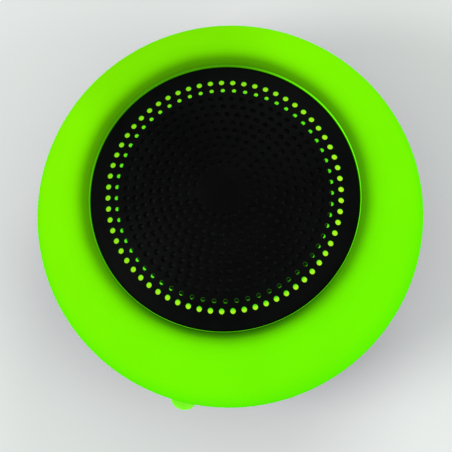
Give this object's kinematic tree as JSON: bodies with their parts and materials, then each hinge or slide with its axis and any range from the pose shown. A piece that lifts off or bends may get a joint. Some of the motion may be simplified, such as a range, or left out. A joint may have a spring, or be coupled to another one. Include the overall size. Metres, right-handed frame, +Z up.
{
  "type": "shower speaker",
  "caption": "Round waterproof speaker: glowing translucent ring around a domed perforated grille, on a black tub with side keys, a charging port flap and a suction cup",
  "frame": {"origin": "on the speaker's own axis, in the plane of the suction cup's lip that it stands on", "axes": "+Z runs up through the middle of the grille, the charging port faces -Y, and the four keys are on the +Y side"},
  "size_m": [0.088, 0.089, 0.0592],
  "materials": {
    "cup_rubber": "smooth glossy black",
    "black_abs": "fine satin texture",
    "white_abs": "satin white",
    "diffuser": "frosted translucent, lit bright green from inside",
    "grille_paint": "fine black powder coat",
    "acoustic_cloth": "fine woven black",
    "black_rubber": "matte moulded black",
    "cover_silicone": "translucent frosted green",
    "zinc_steel": "zinc plated",
    "ferrite": "matte sintered",
    "paper_cone": "matte black pulp",
    "board_green": "green solder mask",
    "board_white": "white solder mask",
    "chip_epoxy": "matte black epoxy",
    "led_package": "lit green lamp",
    "voice_coil_copper": "enamelled copper wire",
    "spider_cloth": "resin-dipped woven cloth",
    "cell_foil": "laminated pouch foil",
    "foam": "closed-cell foam",
    "wire_red": "red insulated wire",
    "wire_black": "black insulated wire"
  },
  "bodies": {
    "speaker": {"lower_housing": "black_abs", "housing_seal": "black_rubber", "diffuser_ring": "diffuser", "diffuser_gasket": "foam", "front_grille": "grille_paint", "grille_mesh": "acoustic_cloth", "inner_core": "white_abs", "housing_screw_1": "zinc_steel", "housing_screw_2": "zinc_steel", "housing_screw_3": "zinc_steel", "housing_screw_4": "zinc_steel", "main_board": "board_green", "bluetooth_chip": "chip_epoxy", "amplifier_chip": "chip_epoxy", "usb_socket": "zinc_steel", "microphone": "chip_epoxy", "tact_switch_1": "chip_epoxy", "tact_switch_2": "chip_epoxy", "tact_switch_3": "chip_epoxy", "tact_switch_4": "chip_epoxy", "led_board": "board_white", "led_1": "led_package", "led_2": "led_package", "led_3": "led_package", "led_4": "led_package", "led_5": "led_package", "led_6": "led_package", "led_7": "led_package", "led_8": "led_package", "battery": "cell_foil", "battery_foam": "foam", "driver_basket": "zinc_steel", "driver_gasket": "foam", "driver_screw_1": "zinc_steel", "driver_screw_2": "zinc_steel", "driver_screw_3": "zinc_steel", "driver_screw_4": "zinc_steel", "top_plate": "zinc_steel", "magnet": "ferrite", "yoke": "zinc_steel", "surround": "black_rubber", "spider": "spider_cloth", "speaker_lead_red": "wire_red", "speaker_lead_black": "wire_black", "battery_lead_red": "wire_red", "battery_lead_black": "wire_black"},
    "cup": {"suction_cup": "cup_rubber", "cup_stud": "zinc_steel"},
    "power_key": {"button_power": "black_rubber"},
    "play_key": {"button_play": "black_rubber"},
    "volume_up_key": {"button_volume_up": "black_rubber"},
    "volume_down_key": {"button_volume_down": "black_rubber"},
    "port_flap": {"port_cover": "cover_silicone"},
    "diaphragm": {"cone": "paper_cone", "dust_cap": "paper_cone", "voice_coil": "voice_coil_copper"}
  },
  "joints": [
    {"name": "cup_swivel", "type": "hinge", "parent": "speaker", "child": "cup", "pos_m": [0, 0, 0.0112], "axis": [0, 0, 1], "continuous": true},
    {"name": "power_press", "type": "slide", "parent": "speaker", "child": "power_key", "axis": [0.1736, -0.9848, 0], "range_m": [0, 0.0005], "stiffness_N_per_m": 3000},
    {"name": "play_press", "type": "slide", "parent": "speaker", "child": "play_key", "axis": [-0.1736, -0.9848, 0], "range_m": [0, 0.0005], "stiffness_N_per_m": 3000},
    {"name": "volume_up_press", "type": "slide", "parent": "speaker", "child": "volume_up_key", "axis": [0.5, -0.866, 0], "range_m": [0, 0.0005], "stiffness_N_per_m": 3000},
    {"name": "volume_down_press", "type": "slide", "parent": "speaker", "child": "volume_down_key", "axis": [-0.5, -0.866, 0], "range_m": [0, 0.0005], "stiffness_N_per_m": 3000},
    {"name": "port_cover_hinge", "type": "hinge", "parent": "speaker", "child": "port_flap", "pos_m": [0, -0.04023, 0.0179], "axis": [1, 0, 0], "range_deg": [0, 110]},
    {"name": "cone_travel", "type": "slide", "parent": "speaker", "child": "diaphragm", "axis": [0, 0, 1], "range_m": [-0.0015, 0.0015], "stiffness_N_per_m": 1500, "deforming": ["surround", "spider"]}
  ]
}
